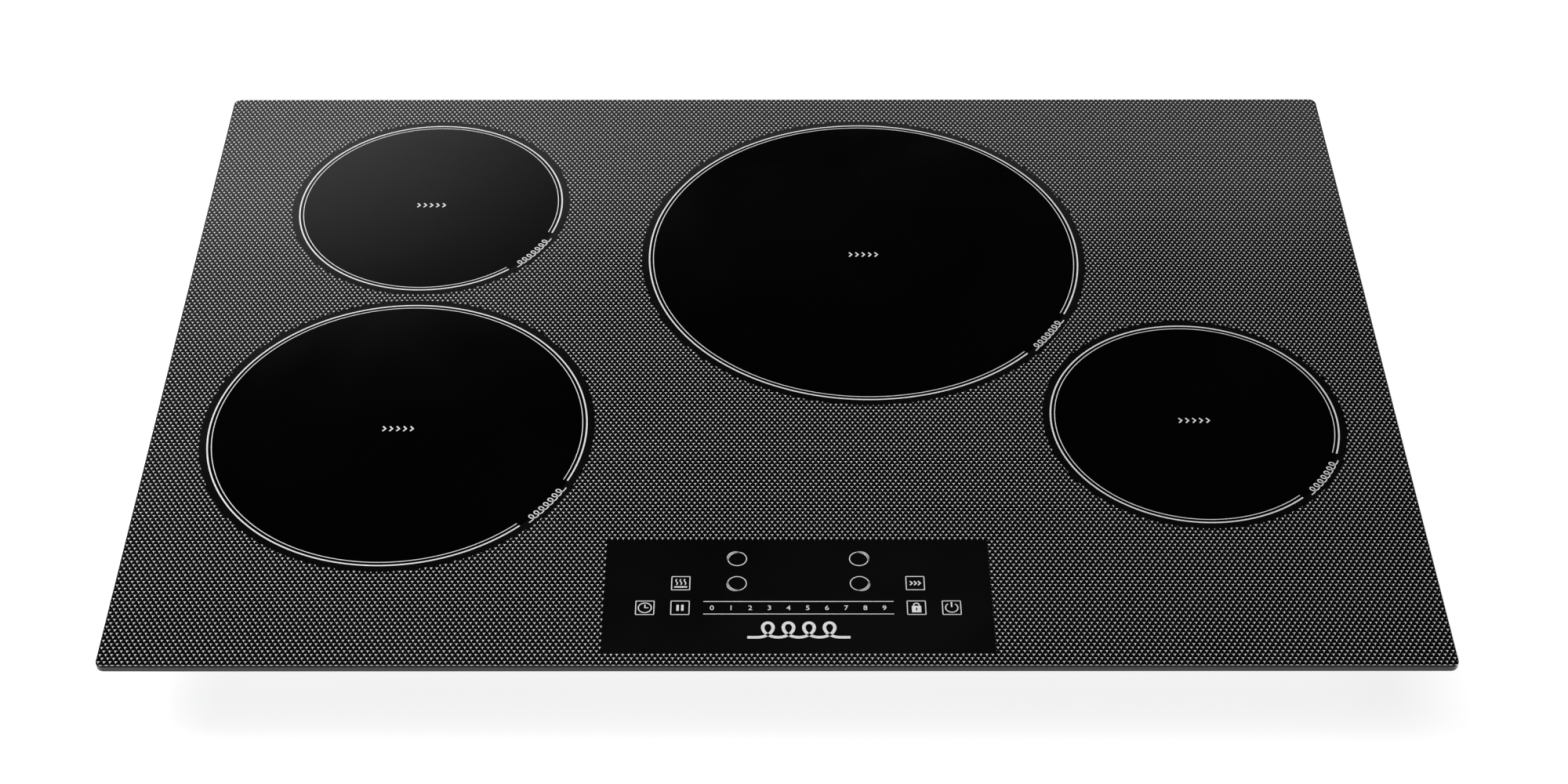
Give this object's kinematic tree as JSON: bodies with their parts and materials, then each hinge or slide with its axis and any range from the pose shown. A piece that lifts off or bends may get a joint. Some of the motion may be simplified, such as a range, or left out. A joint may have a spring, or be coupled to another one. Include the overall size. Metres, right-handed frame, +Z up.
{
  "type": "induction cooktop",
  "caption": "Built-in electric induction cooktop: frameless black glass top with printed cooking zones and touch panel over a stepped steel casing with blowers.",
  "frame": {"origin": "centre of the glass top in plan, at the level of the casing's feet", "axes": "+X to the user's right, +Y to the back, +Z up; the user stands on the -Y side"},
  "size_m": [0.76, 0.53, 0.056],
  "materials": {
    "aluminium_sheet": "rolled sheet",
    "blower_plastic": "black glass-filled resin",
    "capacitor_can": "sleeved can",
    "ceramic_glass": "polished black glass-ceramic with a light printed pattern",
    "choke_copper": "wound core",
    "circuit_board": "green solder mask",
    "ferrite": "sintered ferrite, matt",
    "film_capacitor": "yellow box capacitor",
    "former_plastic": "glass-filled resin",
    "galvanised_steel": "zinc-coated steel sheet, faint spangle",
    "heatsink_aluminium": "extruded, satin",
    "insulating_film": "polyester film",
    "litz_copper": "enamelled copper strands",
    "mica": "mica sheet, silky",
    "package_resin": "moulded epoxy",
    "relay_case": "blue relay case",
    "ribbon": "grey flat cable",
    "seal_foam": "closed-cell foam, matt",
    "sensor_ceramic": "unglazed ceramic",
    "silicone": "cured silicone, matt",
    "spring_steel": "drawn wire",
    "terminal_plastic": "black moulding, fine grain",
    "terminal_resin": "cream resin",
    "touch_foam": "conductive foam",
    "tray_plastic": "dark grey moulding",
    "white_nylon": "natural nylon",
    "wire": "insulated wire",
    "zinc_steel": "zinc plated, satin"
  },
  "bodies": {
    "base": {"board_posts": "white_nylon", "bottom_casing": "galvanised_steel", "bridge_rectifiers": "package_resin", "cable_gland": "terminal_plastic", "casing_screws": "zinc_steel", "clamp_brackets": "zinc_steel", "control_board": "circuit_board", "control_housing": "tray_plastic", "digit_modules": "package_resin", "electrolytic_capacitors": "capacitor_can", "ferrite_bars": "ferrite", "film_capacitors": "film_capacitor", "filter_board": "circuit_board", "filter_chokes": "choke_copper", "front_left_coil_former": "former_plastic", "front_left_mica_sheet": "mica", "front_left_winding": "litz_copper", "front_right_coil_former": "former_plastic", "front_right_mica_sheet": "mica", "front_right_winding": "litz_copper", "glass_adhesive": "silicone", "glass_top": "ceramic_glass", "insulating_film": "insulating_film", "left_blower_housing": "blower_plastic", "left_blower_lid": "blower_plastic", "left_coil_plate": "aluminium_sheet", "left_heatsink": "heatsink_aluminium", "left_power_board": "circuit_board", "mains_leads": "wire", "plate_springs": "spring_steel", "power_transistors": "package_resin", "rear_centre_coil_former": "former_plastic", "rear_centre_mica_sheet": "mica", "rear_centre_winding": "litz_copper", "rear_left_coil_former": "former_plastic", "rear_left_mica_sheet": "mica", "rear_left_winding": "litz_copper", "relays": "relay_case", "ribbon_cable": "ribbon", "right_blower_housing": "blower_plastic", "right_blower_lid": "blower_plastic", "right_coil_plate": "aluminium_sheet", "right_heatsink": "heatsink_aluminium", "right_power_board": "circuit_board", "support_frame": "galvanised_steel", "terminal_block": "terminal_resin", "terminal_box": "terminal_plastic", "terminal_screws": "zinc_steel", "touch_pads": "touch_foam", "worktop_seal": "seal_foam", "zone_sensors": "sensor_ceramic"},
    "left_rotor": {"left_blower_rotor": "blower_plastic"},
    "right_rotor": {"right_blower_rotor": "blower_plastic"},
    "cover": {"terminal_cover": "terminal_plastic"},
    "left_washer": {"left_clamp_washer": "zinc_steel"},
    "left_screw": {"left_clamp_screw": "zinc_steel"},
    "left_arm": {"left_clamp_arm": "zinc_steel"},
    "right_washer": {"right_clamp_washer": "zinc_steel"},
    "right_screw": {"right_clamp_screw": "zinc_steel"},
    "right_arm": {"right_clamp_arm": "zinc_steel"}
  },
  "joints": [
    {"name": "left_blower_spin", "type": "hinge", "parent": "base", "child": "left_rotor", "pos_m": [-0.215, -0.098, 0.019], "axis": [0, 0, 1], "continuous": true},
    {"name": "right_blower_spin", "type": "hinge", "parent": "base", "child": "right_rotor", "pos_m": [0.215, -0.098, 0.019], "axis": [0, 0, 1], "continuous": true},
    {"name": "terminal_cover_swing", "type": "hinge", "parent": "base", "child": "cover", "pos_m": [0, 0.25, 0.04], "axis": [1, 0, 0], "range_deg": [0, 95]},
    {"name": "left_clamp_lift", "type": "slide", "parent": "base", "child": "left_washer", "axis": [0, 0, 1], "range_m": [0, 0.014]},
    {"name": "left_clamp_turn", "type": "hinge", "parent": "left_washer", "child": "left_screw", "pos_m": [-0.37, 0.04, 0], "axis": [0, 0, 1], "range_deg": [0, 5040]},
    {"name": "left_arm_swing", "type": "hinge", "parent": "left_washer", "child": "left_arm", "pos_m": [-0.37, 0.04, 0], "axis": [0, 0, -1], "range_deg": [0, 90]},
    {"name": "right_clamp_lift", "type": "slide", "parent": "base", "child": "right_washer", "axis": [0, 0, 1], "range_m": [0, 0.014]},
    {"name": "right_clamp_turn", "type": "hinge", "parent": "right_washer", "child": "right_screw", "pos_m": [0.37, 0.04, 0], "axis": [0, 0, 1], "range_deg": [0, 5040]},
    {"name": "right_arm_swing", "type": "hinge", "parent": "right_washer", "child": "right_arm", "pos_m": [0.37, 0.04, 0], "axis": [0, 0, 1], "range_deg": [0, 90]}
  ],
  "couplings": [
    {"joint": "left_clamp_turn", "follows": "left_clamp_lift", "rad_per_m": 6283.2},
    {"joint": "right_clamp_turn", "follows": "right_clamp_lift", "rad_per_m": 6283.2}
  ]
}
